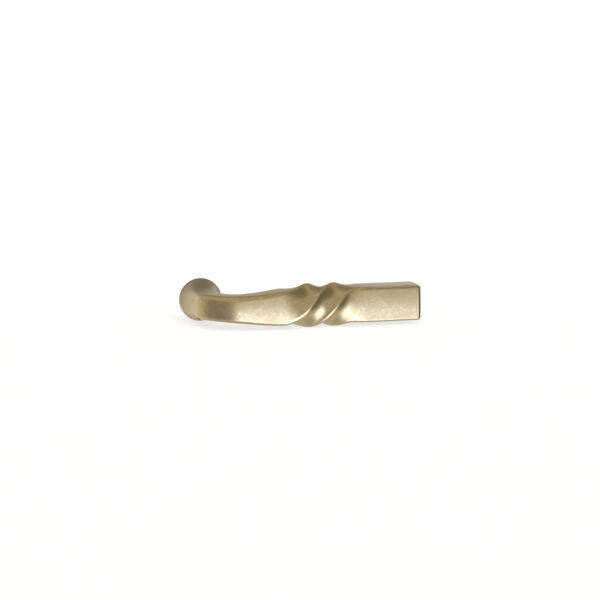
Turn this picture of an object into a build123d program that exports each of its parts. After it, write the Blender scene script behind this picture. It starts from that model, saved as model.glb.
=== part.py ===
from build123d import *

import os
from math import cos, pi, radians, sin

# A lever handle for a door: one bronze casting with a half turn of twist in its square grip,
# and the set screw that locks it on the spindle.
#
# Lengths are in millimetres and angles in degrees. +Z is up, the door lies behind the handle
# towards +Y, and the grip runs along +X. The origin is the middle of the neck's shoulder, the
# face that meets the rose, so the spindle turns about the Y axis.

# Path of the casting's middle line
projection = 36.0  # shoulder to the middle of the grip
elbow_radius = 16.3  # bend of the middle line where the neck turns into the grip
grip_reach = 104.8  # spindle's axis to the free end
dip_depth = 0.75  # how far the middle line hangs low between the neck and the twist
dip_length = 47.0  # length of that dip along the grip, from the spindle's axis

# Neck
shoulder_diameter = 22.0
shoulder_land = 1.2  # parallel rim in front of the shoulder
shoulder_chamfer = 0.5
flare_power = 2.0  # how late the trumpet opens between the elbow and the rim
neck_side = 13.2  # across flats at the elbow
neck_corner = 2.6  # edge radius at the elbow

# Grip
swell_side = 18.4  # across flats where the grip has swollen to its full size
swell_start = 5.0  # from the spindle's axis to where the swelling begins
swell_reach = 46.5  # from the spindle's axis to where it is full
end_side = 18.2  # across flats at the free end
grip_corner = 1.7  # edge radius of the flat lengths
end_length = 3.0  # straight length before the end face
end_corner = 1.4  # edge radius round the end face

# Twist
twist_start = 34.0  # from the spindle's axis
twist_length = 37.0
twist_turn = 180.0  # left-handed: the lower front edge climbs towards the free end
ease_in = 0.34  # share of the twist over which the turning picks up
ease_out = 0.19  # share over which it dies away
twist_corner = 2.5  # edge radius of the ridges

# Crown of the flats, as the angle that half a flat turns through
flat_crown = 4.0
round_crown = 22.5  # eight equal arcs make a circle
twist_crown = 13.5
crown_rise = 9.0  # length over which the flats round out, from the start of the twist
crown_fall = 14.0  # length over which they flatten again
crown_overrun = 6.0  # how far beyond the twist they are flat again

# Journal that turns in the rose, and the square socket for the spindle
journal_diameter = 18.0
journal_length = 5.0
journal_chamfer = 0.6
spindle_side = 8.0
spindle_clearance = 0.1  # on each side of the spindle
socket_depth = 26.0  # from the end of the journal
socket_chamfer = 0.5

# Set screw, in from the underside of the neck
screw_diameter = 5.0
screw_length = 4.0
screw_setback = 5.5  # shoulder to the screw's axis
screw_clearance = 0.05  # all round, in place of the thread
screw_tip_gap = 0.1  # tip to the wall line of the socket
screw_chamfer = 0.4
tip_chamfer = 1.1
cup_diameter = 2.5
cup_depth = 0.6
key_across_flats = 2.5
key_depth = 2.0

# Number of cross-sections along each length
neck_stations = 7
elbow_stations = 8
swell_stations = 4
twist_stations = 25
overrun_stations = 3
end_stations = 2

shoulder_radius = shoulder_diameter / 2
neck_half = neck_side / 2
neck_straight = projection - elbow_radius
flare_length = neck_straight - shoulder_land
socket_side = spindle_side + 2 * spindle_clearance
twist_end = twist_start + twist_length
crown_end = twist_end + crown_overrun
end_start = grip_reach - end_length


def eased(share):
    """Goes from 0 to 1 with no slope at either end."""
    return share * share * (3 - 2 * share)


def between(low, high, share):
    return low + (high - low) * share


def spread(low, high, stations):
    """Evenly spaced values from low to high, both included."""
    return [between(low, high, station / stations) for station in range(stations + 1)]


def turned_share(share):
    """Share of the twist reached at a share of its length: eased in, steady, eased out."""
    steady_rate = 1 / (1 - (ease_in + ease_out) / 2)
    if share < ease_in:
        return steady_rate * share**2 / (2 * ease_in)
    if share > 1 - ease_out:
        return 1 - steady_rate * (1 - share) ** 2 / (2 * ease_out)
    return steady_rate * (share - ease_in / 2)


def casting_section(plane, half_side, corner, crown, turn=0.0):
    """Draws a square section of four crowned sides and four round corners, eight tangent arcs.

    With the corner as large as the half side, all eight lie on one circle.
    """
    lean = radians(crown)
    offset = (half_side - corner) / (1 + sin(lean) - cos(lean))
    side_radius = offset + corner
    side_end = side_radius * sin(lean)
    side_height = half_side - side_radius * (1 - cos(lean))
    corner_centre = offset * sin(lean)
    corner_middle = corner_centre + corner * sin(pi / 4)
    with BuildSketch(plane) as section:
        with BuildLine():
            for quarter in range(4):
                angle = turn - 90 * quarter
                side = [(-side_end, side_height), (0, half_side), (side_end, side_height)]
                round_corner = [side[2], (corner_middle, corner_middle), (side_height, side_end)]
                for arc in (side, round_corner):
                    ThreePointArc(*[Vector(*point).rotate(Axis.Z, angle) for point in arc])
        make_face()
    return section.sketch


def neck_section(setback):
    """A section square to the spindle's axis, at a distance in front of the shoulder."""
    opening = max(0.0, 1 - (setback - shoulder_land) / flare_length) ** flare_power
    return casting_section(
        Plane(origin=(0, -setback, 0), x_dir=(1, 0, 0), z_dir=(0, -1, 0)),
        between(neck_half, shoulder_radius, opening),
        between(neck_corner, shoulder_radius, opening),
        between(flat_crown, round_crown, opening),
    )


def swollen(reach):
    """Share of the swelling reached at a distance from the spindle's axis."""
    return eased(min(1.0, max(0.0, (reach - swell_start) / (swell_reach - swell_start))))


def dip(reach):
    """Depth of the middle line below the spindle's axis, at a distance from it."""
    return dip_depth * sin(pi * min(1.0, reach / dip_length)) ** 2


def elbow_section(angle):
    """A section square to the bend, at an angle round it from the neck."""
    heading = (sin(radians(angle)), -cos(radians(angle)), 0)
    sideways = (cos(radians(angle)), sin(radians(angle)), 0)
    reach = elbow_radius * (1 - cos(radians(angle)))
    setback = neck_straight + elbow_radius * sin(radians(angle))
    return casting_section(
        Plane(origin=(reach, -setback, -dip(reach)), x_dir=sideways, z_dir=heading),
        between(neck_side, swell_side, swollen(reach)) / 2,
        between(neck_corner, grip_corner, swollen(reach)),
        flat_crown,
    )


def grip_section(reach):
    """A section square to the grip, at a distance from the spindle's axis."""
    taper = max(0.0, (reach - swell_reach) / (end_start - swell_reach))
    side = between(between(neck_side, swell_side, swollen(reach)), end_side, taper)
    corner = between(neck_corner, grip_corner, swollen(reach))
    rise = max(0.0, (reach - twist_start) / crown_rise)
    fall = max(0.0, (crown_end - reach) / crown_fall)
    rounding = eased(min(1.0, rise, fall))
    twisting = min(1.0, max(0.0, (reach - twist_start) / twist_length))
    return casting_section(
        Plane(origin=(reach, -projection, -dip(reach)), x_dir=(0, 1, 0), z_dir=(1, 0, 0)),
        side / 2,
        between(corner, twist_corner, rounding),
        between(flat_crown, twist_crown, rounding),
        -twist_turn * turned_share(twisting),
    )


with BuildPart() as lever_handle:
    # Rim of the shoulder
    extrude(neck_section(shoulder_land), amount=shoulder_land, dir=(0, 1, 0))
    chamfer(lever_handle.faces().sort_by(Axis.Y)[-1].edges(), length=shoulder_chamfer)

    # Neck, elbow, swell, twist, its overrun and the flat length
    loft(sections=[neck_section(y) for y in spread(shoulder_land, neck_straight, neck_stations)])
    loft(sections=[elbow_section(angle) for angle in spread(0, 90, elbow_stations)])
    loft(sections=[grip_section(x) for x in spread(elbow_radius, twist_start, swell_stations)])
    loft(sections=[grip_section(x) for x in spread(twist_start, twist_end, twist_stations)])
    loft(sections=[grip_section(x) for x in spread(twist_end, crown_end, overrun_stations)])
    loft(sections=[grip_section(x) for x in spread(crown_end, end_start, end_stations)])

    # Free end
    extrude(grip_section(end_start), amount=end_length, dir=(1, 0, 0))
    fillet(lever_handle.faces().sort_by(Axis.X)[-1].edges(), radius=end_corner)

    # Journal behind the shoulder
    with BuildSketch(Plane.XZ):
        Circle(journal_diameter / 2)
    extrude(amount=-journal_length)
    chamfer(lever_handle.faces().sort_by(Axis.Y)[-1].edges(), length=journal_chamfer)

    # Blind square socket for the spindle, its mouth eased
    with BuildSketch(Plane.XZ.offset(-journal_length)):
        Rectangle(socket_side, socket_side)
    extrude(amount=socket_depth, mode=Mode.SUBTRACT)
    journal_end = lever_handle.faces().sort_by(Axis.Y)[-1]
    chamfer(journal_end.inner_wires()[0].edges(), length=socket_chamfer)

    # Hole for the set screw, from the underside of the neck into the socket
    with BuildSketch(Plane(origin=(0, -screw_setback, 0), z_dir=(0, 0, -1))):
        Circle(screw_diameter / 2 + screw_clearance)
    extrude(amount=shoulder_radius, mode=Mode.SUBTRACT)

screw_tip = Plane(
    origin=(0, -screw_setback, -socket_side / 2 - screw_tip_gap), z_dir=(0, 0, -1)
)

with BuildPart() as set_screw:
    # Shank, its tip tapered down to the rim of the cup
    with BuildSketch(screw_tip):
        Circle(screw_diameter / 2)
    extrude(amount=screw_length)
    chamfer(set_screw.faces().sort_by(Axis.Z)[-1].edges(), length=tip_chamfer)
    chamfer(set_screw.faces().sort_by(Axis.Z)[0].edges(), length=screw_chamfer)

    # Cup that bites into the spindle
    with Locations(screw_tip):
        Cone(
            bottom_radius=cup_diameter / 2,
            top_radius=0,
            height=cup_depth,
            align=(Align.CENTER, Align.CENTER, Align.MIN),
            mode=Mode.SUBTRACT,
        )

    # Hexagon socket for the key
    with BuildSketch(screw_tip.offset(screw_length)):
        RegularPolygon(key_across_flats / 2, side_count=6, major_radius=False)
    extrude(amount=-key_depth, mode=Mode.SUBTRACT)

lever_handle.part.label = "lever_handle"
set_screw.part.label = "set_screw"

os.makedirs("parts", exist_ok=True)
export_step(lever_handle.part, "parts/lever_handle.step")
export_step(set_screw.part, "parts/set_screw.step")
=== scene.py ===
# %% [markdown]
# # A cast bronze lever handle
#
# The handle is one casting: a round neck that goes back to the door, a tight elbow, and a square
# grip with a half turn of twist in it. A set screw in the neck locks it on the door's spindle. Both
# could be drawn again in Blender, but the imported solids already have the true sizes, so they are
# loaded and stay as they are. Here they get their finishes, and the picture gets its floor, its
# light and its camera.

# %% Load the solids
import math

import bpy
from mathutils import Matrix, Vector


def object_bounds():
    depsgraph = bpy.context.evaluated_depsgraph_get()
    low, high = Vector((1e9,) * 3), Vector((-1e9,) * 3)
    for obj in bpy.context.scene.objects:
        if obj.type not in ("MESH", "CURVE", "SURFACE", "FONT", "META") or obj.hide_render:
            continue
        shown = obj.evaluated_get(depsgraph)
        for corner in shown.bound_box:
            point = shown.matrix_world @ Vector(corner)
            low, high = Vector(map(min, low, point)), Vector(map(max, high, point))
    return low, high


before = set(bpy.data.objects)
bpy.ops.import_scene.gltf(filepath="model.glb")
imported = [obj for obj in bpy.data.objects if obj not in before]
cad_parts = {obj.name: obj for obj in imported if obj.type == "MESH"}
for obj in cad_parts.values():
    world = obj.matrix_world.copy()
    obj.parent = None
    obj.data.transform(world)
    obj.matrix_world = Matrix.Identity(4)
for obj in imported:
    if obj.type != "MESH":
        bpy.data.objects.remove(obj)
cad_low, cad_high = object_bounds()
MM = 0.001
size_mm = (cad_high - cad_low) / MM
print("solids:", sorted(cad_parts))
print("size of the handle in mm:", [round(side, 1) for side in size_mm])

# %% [markdown]
# The photograph was taken with a long lens, from a little to the left of the grip and a little
# above it. A camera can be aimed by a constraint, or placed by three angles and a distance. The
# angles are used here, because they can be read off the photograph one by one: the camera looks
# along a line through a target in the middle of the grip, and is tipped very slightly about it.

# %% The camera's three directions
LOOK_RIGHT = math.radians(12.87)
LOOK_DOWN = math.radians(8.29)

forward = Vector((
    math.sin(LOOK_RIGHT) * math.cos(LOOK_DOWN),
    math.cos(LOOK_RIGHT) * math.cos(LOOK_DOWN),
    -math.sin(LOOK_DOWN),
))
right = Vector((math.cos(LOOK_RIGHT), -math.sin(LOOK_RIGHT), 0.0))
up = right.cross(forward)
print("the camera looks along:", [round(part, 3) for part in forward])

# %% The camera's place
CAMERA_DISTANCE = 900 * MM
FRAME_WIDTH = 300 * MM
FRAME_PIXELS = 600
PIXEL = FRAME_WIDTH / FRAME_PIXELS
TARGET = Vector((42.6, -35.0, 0.0)) * MM
TARGET_LEFT_OF_MIDDLE = 3.97 * PIXEL
TARGET_BELOW_MIDDLE = 5.25 * PIXEL
TIP = math.radians(-0.574)

aim = TARGET + right * TARGET_LEFT_OF_MIDDLE + up * TARGET_BELOW_MIDDLE
place = Matrix((right, up, -forward)).transposed().to_4x4()
place.translation = aim - forward * CAMERA_DISTANCE
print("the camera stands at, in mm:", [round(part / MM) for part in place.translation])

# %% Camera
SENSOR_WIDTH = 36.0

camera_data = bpy.data.cameras.new("camera")
camera_data.sensor_width = SENSOR_WIDTH
camera_data.lens = SENSOR_WIDTH * CAMERA_DISTANCE / FRAME_WIDTH
camera = bpy.data.objects.new("camera", camera_data)
camera.matrix_world = place @ Matrix.Rotation(TIP, 4, "Z")
bpy.context.scene.collection.objects.link(camera)
bpy.context.scene.camera = camera
bpy.context.scene.view_settings.view_transform = "Standard"
print("lens in mm:", round(camera_data.lens, 1))

# %% [markdown]
# Materials are networks of nodes. They could be wired one link at a time, but that is long to
# write and hard to read. Two small helpers keep the cells short: an input takes either a plain
# value or the output of another node, and is set or joined accordingly.

# %% Node helpers


def feed(tree, node, inputs):
    """Sets a node's inputs, by name or number, to plain values or joins outputs to them."""
    for socket, source in inputs.items():
        if isinstance(source, bpy.types.NodeSocket):
            tree.links.new(source, node.inputs[socket])
        else:
            node.inputs[socket].default_value = source


def add(tree, kind, inputs=None, **settings):
    """Adds a node, sets its properties by name and feeds its inputs."""
    node = tree.nodes.new(kind)
    for name, setting in settings.items():
        setattr(node, name, setting)
    feed(tree, node, inputs or {})
    return node


print("two helpers for nodes: feed and add")

# %% [markdown]
# A mask is a number from 0 to 1 that says where something is. Every finish and the room are built
# from masks, so the few sums that make them are written once. A ramp turns one range of values
# into another, a soft step is a ramp with rounded ends, and two masks multiplied are full only
# where both are. A colour is then laid over another as far as a mask is full.

# %% Helpers for masks and colours
UNDER, OVER, MIXED = 6, 7, 2  # the colour sockets of a Mix node


def ramp(tree, value, ends, results=(0.0, 1.0), ease="LINEAR"):
    """Turns the values between two ends into results, and holds those beyond the ends."""
    limits = {
        "Value": value, "From Min": ends[0], "From Max": ends[1],
        "To Min": results[0], "To Max": results[1],
    }
    return add(tree, "ShaderNodeMapRange", limits, interpolation_type=ease).outputs["Result"]


def soft_step(tree, value, none_at, full_at):
    """A mask that goes smoothly from 0 at one value to 1 at another, in either order."""
    if none_at < full_at:
        return ramp(tree, value, (none_at, full_at), (0.0, 1.0), "SMOOTHSTEP")
    return ramp(tree, value, (full_at, none_at), (1.0, 0.0), "SMOOTHSTEP")


def calculate(tree, operation, first, second, **settings):
    """One sum of two numbers, each a plain value or an output."""
    terms = {0: first, 1: second}
    return add(tree, "ShaderNodeMath", terms, operation=operation, **settings).outputs["Value"]


def lay_colour(tree, mask, under, over):
    """Lays a colour over another as far as the mask is full."""
    layers = {"Factor": mask, UNDER: under, OVER: over}
    return add(tree, "ShaderNodeMix", layers, data_type="RGBA").outputs[MIXED]


print("four helpers for masks and colours: ramp, soft_step, calculate and lay_colour")

# %% [markdown]
# The casting has a blasted, satin skin. Seen close, it is a fine grain of pits that hold a
# darker, more golden tone, over broad soft patches where hands and cloth have rubbed it brighter.
# An image could carry this, but noise in the object's own space needs no unwrapping and flows
# over every edge without a seam. The skin is built once, as a group, because the bronze and the
# steel both use it, each with its own colours and sizes as inputs.

# %% Skin of a casting: the group and its sockets
COLOUR, NUMBER = "NodeSocketColor", "NodeSocketFloat"
SKIN_INPUTS = {
    "Face": COLOUR,
    "Pit": COLOUR,
    "Stain": COLOUR,
    "Grains per Metre": NUMBER,
    "Patches per Metre": NUMBER,
    "Stains per Metre": NUMBER,
    "Smoothest": NUMBER,
    "Roughest": NUMBER,
}
SKIN_OUTPUTS = {"Colour": COLOUR, "Roughness": NUMBER, "Height": NUMBER}


def new_group(name, inputs, outputs):
    """An empty node group with its sockets."""
    group = bpy.data.node_groups.new(name, "ShaderNodeTree")
    for way, sockets in (("INPUT", inputs), ("OUTPUT", outputs)):
        for socket, kind in sockets.items():
            group.interface.new_socket(socket, in_out=way, socket_type=kind)
    return group


cast_skin = new_group("cast_skin", SKIN_INPUTS, SKIN_OUTPUTS)
given = add(cast_skin, "NodeGroupInput").outputs
print("sockets of the skin:", len(SKIN_INPUTS), "in and", len(SKIN_OUTPUTS), "out")

# %% Skin of a casting: three noises
skin_place = add(cast_skin, "ShaderNodeTexCoord").outputs["Object"]


def skin_noise(fineness, detail, roughness):
    """A noise in the object's own space, as fine as one of the group's inputs says."""
    inputs = {
        "Vector": skin_place, "Scale": given[fineness], "Detail": detail, "Roughness": roughness,
    }
    return add(cast_skin, "ShaderNodeTexNoise", inputs).outputs["Fac"]


grain = skin_noise("Grains per Metre", detail=3.0, roughness=0.60)
patches = skin_noise("Patches per Metre", detail=3.0, roughness=0.55)
stains = skin_noise("Stains per Metre", detail=4.0, roughness=0.65)
print("noises of the skin, with what feeds them:", len(cast_skin.nodes), "nodes")

# %% Skin of a casting: colour, shine and height
ALL_PIT, ALL_FACE = 0.37, 0.65
LEAST_RUBBED, MOST_RUBBED = 0.35, 0.65
UNRUBBED_BRIGHTNESS = 0.35
NO_STAIN, FULL_STAIN = 0.46, 0.64
STAIN_COVER = 0.85

face_share = ramp(cast_skin, grain, (ALL_PIT, ALL_FACE))
rubbed = ramp(cast_skin, patches, (LEAST_RUBBED, MOST_RUBBED))
brightness = ramp(cast_skin, rubbed, (0.0, 1.0), (UNRUBBED_BRIGHTNESS, 1.0))
bright_face = calculate(cast_skin, "MULTIPLY", face_share, brightness)
bare_colour = lay_colour(cast_skin, bright_face, given["Pit"], given["Face"])
stained = ramp(cast_skin, stains, (NO_STAIN, FULL_STAIN), (0.0, STAIN_COVER))
feed(cast_skin, add(cast_skin, "NodeGroupOutput"), {
    "Colour": lay_colour(cast_skin, stained, bare_colour, given["Stain"]),
    "Roughness": ramp(
        cast_skin, bright_face, (0.0, 1.0), (given["Roughest"], given["Smoothest"])
    ),
    "Height": grain,
})
print("skin group nodes:", len(cast_skin.nodes))

# %% [markdown]
# Hands polish what stands out furthest: the ridges of the twist, and the edges of the flats. The
# ridges' brighter tone is partly a painted highlight, kept to the lower part of the grip. Other
# places differ in tone: the neck is darker and greyer towards the door, the top of its rim has
# painted shade, the top of the grip near its end has a painted pale reflection, the face of the
# free end has painted shade, and the journal is turned bright on the lathe. These places could be
# painted by hand on the mesh, but masks drawn from distances need no unwrapping and follow the
# sizes of the handle. They are a group of their own, which gives one mask for each place.

# %% Places on the handle: the group
PLACES = ("Wear and Highlight", "Root", "Rim", "Free End Shade", "Machined", "Painted Top Reflection")

wear_and_painted_light_places = new_group("wear_and_painted_light_places", {}, dict.fromkeys(PLACES, NUMBER))
handle_place = add(wear_and_painted_light_places, "ShaderNodeTexCoord").outputs["Object"]
along = add(wear_and_painted_light_places, "ShaderNodeSeparateXYZ", {"Vector": handle_place}).outputs
masks = {}


def place_step(value, none_at, full_at):
    """A soft step inside the group of places."""
    return soft_step(wear_and_painted_light_places, value, none_at, full_at)


def both(first, second):
    """Where two of the group's masks are full together."""
    return calculate(wear_and_painted_light_places, "MULTIPLY", first, second)


print("places with a mask:", ", ".join(PLACES))

# %% [markdown]
# The ridges and edges are the places furthest from the middle line of the grip, so their mask
# comes from that distance: a line through the grip at its own depth, in the direction of its
# length. The ridges lie nearer to it than the edges of the flats do, so each has its own limits.
# The ridges' lighter tone is partly a painted highlight, so it fades out towards the top of the
# grip.

# %% Worn ridges and edges, with a painted highlight on the ridges
GRIP_AXIS_Y = -36.0 * MM
TWIST_FROM, TWIST_TO, TWIST_BLEND = 36.0 * MM, 74.0 * MM, 4.0 * MM
RIDGE_FROM, RIDGE_FULL = 10.4 * MM, 10.9 * MM
RIDGE_HIGHLIGHT_TOP, RIDGE_HIGHLIGHT_FULL = 5.0 * MM, 0.0 * MM
EDGE_FROM, EDGE_FULL = 11.5 * MM, 12.0 * MM
ELBOW_END, GRIP_START = 14.0 * MM, 24.0 * MM
EDGE_WEAR = 0.3

depth = calculate(wear_and_painted_light_places, "SUBTRACT", along["Y"], GRIP_AXIS_Y)
across = add(wear_and_painted_light_places, "ShaderNodeCombineXYZ", {"Y": depth, "Z": along["Z"]})
distance = add(
    wear_and_painted_light_places, "ShaderNodeVectorMath", {0: across.outputs["Vector"]}, operation="LENGTH"
).outputs["Value"]
on_twist = both(
    place_step(along["X"], TWIST_FROM - TWIST_BLEND, TWIST_FROM + TWIST_BLEND),
    place_step(along["X"], TWIST_TO + TWIST_BLEND, TWIST_TO - TWIST_BLEND),
)
ridges = both(on_twist, place_step(distance, RIDGE_FROM, RIDGE_FULL))
# painted highlight: the ridges' lighter tone fades out above the middle height of the grip
ridges = both(ridges, place_step(along["Z"], RIDGE_HIGHLIGHT_TOP, RIDGE_HIGHLIGHT_FULL))
on_flats = calculate(wear_and_painted_light_places, "SUBTRACT", 1.0, on_twist)
edges = both(on_flats, place_step(distance, EDGE_FROM, EDGE_FULL))
edges = both(edges, place_step(along["X"], ELBOW_END, GRIP_START))
light_wear = calculate(wear_and_painted_light_places, "MULTIPLY", edges, EDGE_WEAR)
masks["Wear and Highlight"] = calculate(wear_and_painted_light_places, "ADD", ridges, light_wear, use_clamp=True)
print("nodes for the worn places:", len(wear_and_painted_light_places.nodes))

# %% [markdown]
# The other places lie at known depths, lengths and heights, so a soft step or two along an axis
# is enough for each.

# %% Neck, journal, thumb rest and free end
ROOT_FROM, ROOT_FULL = -28.0 * MM, -8.0 * MM
RIM_FROM, RIM_FULL = -2.2 * MM, -1.2 * MM
RIM_LOW, RIM_HIGH = 0.0 * MM, 7.0 * MM
MACHINED_FROM, MACHINED_FULL = 0.0 * MM, 0.1 * MM
TOP_REFLECTION_FROM, TOP_REFLECTION_FULL = 66.0 * MM, 96.0 * MM
TOP_FROM, TOP_FULL = 8.2 * MM, 8.9 * MM
END_FROM, END_FULL = 103.4 * MM, 104.3 * MM

masks["Root"] = place_step(along["Y"], ROOT_FROM, ROOT_FULL)
# painted shade: the top of the rim is darkened
masks["Rim"] = both(
    place_step(along["Y"], RIM_FROM, RIM_FULL), place_step(along["Z"], RIM_LOW, RIM_HIGH)
)
masks["Machined"] = place_step(along["Y"], MACHINED_FROM, MACHINED_FULL)
# painted reflection: the top of the grip towards its end is made pale
masks["Painted Top Reflection"] = both(
    place_step(along["X"], TOP_REFLECTION_FROM, TOP_REFLECTION_FULL), place_step(along["Z"], TOP_FROM, TOP_FULL)
)
# painted shade: the face of the free end is darkened
masks["Free End Shade"] = place_step(along["X"], END_FROM, END_FULL)
feed(wear_and_painted_light_places, add(wear_and_painted_light_places, "NodeGroupOutput"), masks)
print("mask nodes:", len(wear_and_painted_light_places.nodes))

# %% [markdown]
# Pale bronze reflects red most, green a little less and blue least, so grey light comes back as
# a light gold. A flat metal colour would look like paint, so it is never flat here: the grain
# goes into the colour, into the roughness and, as a bump of a few hundredths of a millimetre,
# into the way the light breaks. The bump only bends the shading, which costs no faces and is
# enough for a grain that is too small to show in the outline.

# %% A metal with a skin


def make_metal(name, skin_values, relief_strength, relief_depth):
    """A metal whose colour, roughness and relief come from the skin; also gives the skin."""
    material = bpy.data.materials.new(name)
    material.use_nodes = True
    tree = material.node_tree
    skin = add(tree, "ShaderNodeGroup", skin_values, node_tree=cast_skin)
    relief = add(tree, "ShaderNodeBump", {
        "Height": skin.outputs["Height"], "Strength": relief_strength, "Distance": relief_depth,
    })
    feed(tree, tree.nodes["Principled BSDF"], {
        "Metallic": 1.0,
        "Base Color": skin.outputs["Colour"],
        "Roughness": skin.outputs["Roughness"],
        "Normal": relief.outputs["Normal"],
    })
    return material, skin


bronze, bronze_skin = make_metal(
    "blasted_bronze",
    {
        "Face": (0.90, 0.81, 0.59, 1.0),
        "Pit": (0.67, 0.56, 0.34, 1.0),
        "Stain": (0.74, 0.56, 0.33, 1.0),
        "Grains per Metre": 1000.0,
        "Patches per Metre": 160.0,
        "Stains per Metre": 380.0,
        "Smoothest": 0.26,
        "Roughest": 0.32,
    },
    relief_strength=0.15,
    relief_depth=0.03 * MM,
)
print("made", bronze.name)

# %% [markdown]
# The places get their tones over the skin. Laid on whole, a tone would hide the grain and look
# like a sticker, so each covers only a share of it. Some tones are painted light: shade on the top
# of the rim and on the free end, a pale reflection on the top of the grip, and part of the ridges'
# brightness. Where hands rub most, the metal is smoother too.

# %% The bronze's places
PLACE_COLOURS = (
    # place, share of its colour that covers the skin, colour
    ("Root", 0.85, (0.60, 0.53, 0.43)),
    # painted shade on the top of the rim
    ("Rim", 0.90, (0.22, 0.19, 0.16)),
    # painted pale reflection on the top of the grip
    ("Painted Top Reflection", 0.75, (0.94, 0.93, 0.92)),
    # painted shade on the face of the free end
    ("Free End Shade", 0.70, (0.46, 0.37, 0.26)),
    ("Machined", 0.80, (0.84, 0.71, 0.47)),
    # wear on the ridges and edges, partly a painted highlight
    ("Wear and Highlight", 0.95, (0.86, 0.74, 0.49)),
)
WORN_ROUGHNESS = 0.24
FIRST_NUMBER, SECOND_NUMBER, MIXED_NUMBER = 2, 3, 0  # the number sockets of a Mix node

tree = bronze.node_tree
places = add(tree, "ShaderNodeGroup", node_tree=wear_and_painted_light_places).outputs
colour = bronze_skin.outputs["Colour"]
for place_name, share, tone in PLACE_COLOURS:
    covered = calculate(tree, "MULTIPLY", places[place_name], share)
    colour = lay_colour(tree, covered, colour, (*tone, 1.0))
polish = add(tree, "ShaderNodeMix", {
    "Factor": places["Wear and Highlight"],
    FIRST_NUMBER: bronze_skin.outputs["Roughness"],
    SECOND_NUMBER: WORN_ROUGHNESS,
})
feed(tree, tree.nodes["Principled BSDF"], {
    "Base Color": colour,
    "Roughness": polish.outputs[MIXED_NUMBER],
})
print("tones over the skin:", len(PLACE_COLOURS))

# %% [markdown]
# A set screw is hardened steel, blackened in oil, so it is dark, nearly grey and a little
# uneven. It could be a plain dark metal, but the casting's skin fits it as well once its grain is
# much finer and shallower, and then both metals catch the light in the same way.

# %% Black steel of the set screw
steel, _ = make_metal(
    "blackened_steel",
    {
        "Face": (0.42, 0.42, 0.43, 1.0),
        "Pit": (0.22, 0.22, 0.23, 1.0),
        "Stain": (0.36, 0.33, 0.30, 1.0),
        "Grains per Metre": 4000.0,
        "Patches per Metre": 500.0,
        "Stains per Metre": 900.0,
        "Smoothest": 0.28,
        "Roughest": 0.42,
    },
    relief_strength=0.2,
    relief_depth=0.01 * MM,
)
print("made", steel.name)

# %% [markdown]
# Each solid came in with a plain material in its slots. The mesh stays untouched, so the finish
# goes into the slot in place of the plain one.

# %% Give the solids their finishes
FINISHES = {"lever_handle": bronze, "set_screw": steel}
for name, material in FINISHES.items():
    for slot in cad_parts[name].material_slots:
        slot.material = material
    print(name, "wears", material.name)

# %% [markdown]
# The floor is a plain pale sheet that curves up far away, all round, so that no horizon shows.
# A flat plane would end in a line against the world. A profile of a few points spun about a
# vertical axis gives the whole sweep at once, from any side.

# %% Profile of the floor and backdrop
FLOOR_RADIUS = 3.0
BEND_RADIUS = 0.8
WALL_HEIGHT = 2.0
BEND_STEPS = 12


def sweep_profile():
    """Points from the middle of the floor, out to the wall and up it."""
    points = [(0.0, 0.0), (FLOOR_RADIUS, 0.0)]
    for step in range(1, BEND_STEPS + 1):
        angle = math.pi / 2 * step / BEND_STEPS
        points.append((
            FLOOR_RADIUS + BEND_RADIUS * math.sin(angle),
            BEND_RADIUS * (1 - math.cos(angle)),
        ))
    points.append((FLOOR_RADIUS + BEND_RADIUS, WALL_HEIGHT))
    return points


print("points in the profile:", len(sweep_profile()))

# %% Floor and backdrop
import bmesh

TURN_STEPS = 96
MERGE_DISTANCE = 0.1 * MM

sweep = bmesh.new()
ring = [sweep.verts.new((x, 0.0, cad_low.z + z)) for x, z in sweep_profile()]
ring_edges = [sweep.edges.new(pair) for pair in zip(ring[:-1], ring[1:])]
bmesh.ops.spin(
    sweep, geom=ring + ring_edges, cent=(0, 0, 0), axis=(0, 0, 1),
    angle=2 * math.pi, steps=TURN_STEPS, use_merge=True,
)
bmesh.ops.remove_doubles(sweep, verts=sweep.verts, dist=MERGE_DISTANCE)
bmesh.ops.recalc_face_normals(sweep, faces=sweep.faces)
for face in sweep.faces:
    face.smooth = True
floor_mesh = bpy.data.meshes.new("floor")
sweep.to_mesh(floor_mesh)
sweep.free()
floor = bpy.data.objects.new("floor", floor_mesh)
bpy.context.scene.collection.objects.link(floor)
print("floor faces:", len(floor_mesh.polygons))

# %% [markdown]
# The metal of the photograph doesn't show the white that surrounds it, so the floor is hidden
# from reflections. Its paper could be plain white, but then the handle's shadow would be much
# stronger than in the photograph. So most of its white is the paper's own, which no shadow
# darkens, and only the rest is lit. The Light Path node keeps that glow to what a ray sees
# straight, in gloss or through glass, so that it puts no extra light on the object.

# %% Paper of the floor
WHITE = (1.0, 1.0, 1.0, 1.0)
PAPER = (0.93, 0.93, 0.93, 1.0)
OWN_WHITE = 0.7  # share of the floor's white that no shadow darkens

floor.visible_glossy = False
floor.visible_shadow = False
paper = bpy.data.materials.new("floor_paper")
paper.use_nodes = True
tree = paper.node_tree
sheet = tree.nodes["Principled BSDF"]
feed(tree, sheet, {"Base Color": PAPER, "Roughness": 1.0, "Specular IOR Level": 0.0})
glow = add(tree, "ShaderNodeEmission", {"Color": WHITE, "Strength": 1.0})
ray = add(tree, "ShaderNodeLightPath").outputs
seen = calculate(tree, "ADD", ray["Is Camera Ray"], ray["Is Glossy Ray"])
seen = calculate(tree, "ADD", seen, ray["Is Transmission Ray"])
blend = add(tree, "ShaderNodeMixShader", {
    "Fac": calculate(tree, "MULTIPLY", seen, OWN_WHITE),
    1: sheet.outputs["BSDF"],
    2: glow.outputs["Emission"],
})
feed(tree, tree.nodes["Material Output"], {"Surface": blend.outputs["Shader"]})
floor_mesh.materials.append(paper)
print("share of the floor's white that is its own:", OWN_WHITE)

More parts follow.
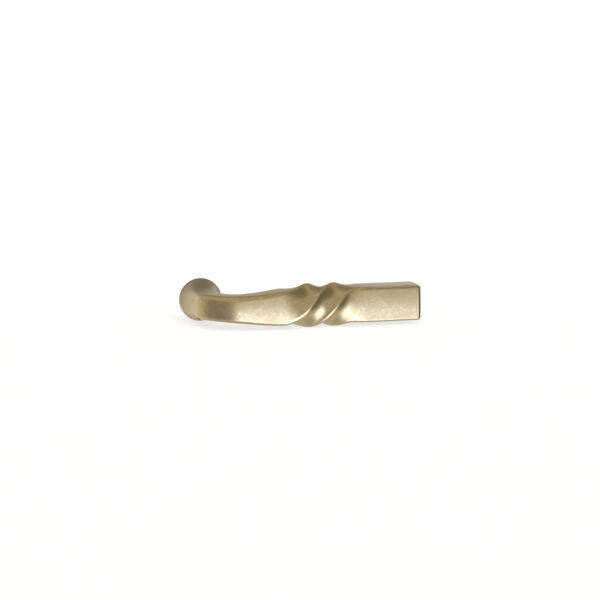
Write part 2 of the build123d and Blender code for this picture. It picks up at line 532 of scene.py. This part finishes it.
# %% [markdown]
# A satin metal shows its room more than its own colour. The room of the photograph is a dim warm
# grey with one bright, low table in front of the handle, some darker corners beside it and above
# it, and a paler wall behind. It could be built from walls and lamps, or taken from an image. The
# world draws it by direction instead, which needs no objects and can be tuned corner by corner:
# each mask is a soft step on one component of the direction, or on how far it is from a corner.

# %% Directions in the room
world = bpy.data.worlds.new("room")
bpy.context.scene.world = world
world.use_nodes = True
room_tree = world.node_tree
direction = add(room_tree, "ShaderNodeTexCoord").outputs["Generated"]
parts = add(room_tree, "ShaderNodeSeparateXYZ", {"Vector": direction}).outputs


def towards(azimuth, elevation):
    """Direction at an azimuth from the front towards the right, and an elevation, in degrees."""
    turn, rise = math.radians(azimuth), math.radians(elevation)
    return (math.sin(turn) * math.cos(rise), -math.cos(turn) * math.cos(rise), math.sin(rise))


def corner(azimuth, elevation, inner, outer):
    """A round soft mask about a direction, full within inner degrees and gone past outer."""
    nearness = add(
        room_tree, "ShaderNodeVectorMath", {0: direction, 1: towards(azimuth, elevation)},
        operation="DOT_PRODUCT",
    ).outputs["Value"]
    return soft_step(
        room_tree, nearness, math.cos(math.radians(outer)), math.cos(math.radians(inner))
    )


print("the front of the room is towards:", [round(part, 2) for part in towards(0, 0)])

# %% The dim room and its corners
ABOVE = (0.47, 0.42, 0.31)
BELOW = (0.55, 0.50, 0.40)
ABOVE_ENDS, BELOW_STARTS = -0.15, -0.6
CORNERS = (
    # azimuth, elevation, full within, gone past, colour
    (-66, -16, 24, 46, (0.28, 0.25, 0.22)),
    (76, -4, 32, 48, (0.15, 0.13, 0.10)),
    (62, 40, 20, 40, (0.20, 0.175, 0.135)),
    (168, 40, 8, 34, (0.25, 0.23, 0.19)),
    (-152, -12, 10, 40, (0.76, 0.69, 0.58)),
    (167, 5, 6, 20, (0.58, 0.56, 0.53)),
    (0, -90, 10, 28, (0.42, 0.39, 0.31)),
)

low = soft_step(room_tree, parts["Z"], ABOVE_ENDS, BELOW_STARTS)
room = lay_colour(room_tree, low, (*ABOVE, 1.0), (*BELOW, 1.0))
for azimuth, elevation, inner, outer, tone in CORNERS:
    mask = corner(azimuth, elevation, inner, outer)
    room = lay_colour(room_tree, mask, room, (*tone, 1.0))
print("corners of the room:", len(CORNERS))

# %% The bright table
TABLE = (1.78, 1.92, 2.28)
TABLE_EDGES = (
    # component of the direction, value where the table is gone, value where it is full
    ("Z", -0.08, -0.25),
    ("Z", -0.94, -0.76),
    ("X", -0.38, -0.29),
    ("X", 0.44, 0.28),
    ("Y", 0.0, -0.35),
)

table = 1.0
for component, none_at, full_at in TABLE_EDGES:
    edge = soft_step(room_tree, parts[component], none_at, full_at)
    table = calculate(room_tree, "MULTIPLY", table, edge)
room = lay_colour(room_tree, table, room, (*TABLE, 1.0))
feed(room_tree, room_tree.nodes["Background"], {"Color": room})
print("edges of the table:", len(TABLE_EDGES))

# %% [markdown]
# The room is dim, so it can't light a white floor. A studio would hang a large soft light high in
# front for that. An area lamp of that size would also do, but a lamp of the sun's kind with a wide
# angle lights every place alike, and the shadow it throws is as soft. It is hidden from
# reflections, because the metal shows the painted room and no lamp.

# %% Lamp
LAMP_STRENGTH = 3.1
LAMP_ANGLE = math.radians(60)
LAMP_DIRECTION = Vector((0.0, 0.7, -0.7))

lamp_data = bpy.data.lights.new("sky_lamp", "SUN")
lamp_data.energy = LAMP_STRENGTH
lamp_data.angle = LAMP_ANGLE
lamp = bpy.data.objects.new("sky_lamp", lamp_data)
lamp.rotation_mode = "QUATERNION"
lamp.rotation_quaternion = LAMP_DIRECTION.to_track_quat("-Z", "Y")
lamp.visible_glossy = False
bpy.context.scene.collection.objects.link(lamp)
print("strength of the lamp:", LAMP_STRENGTH)
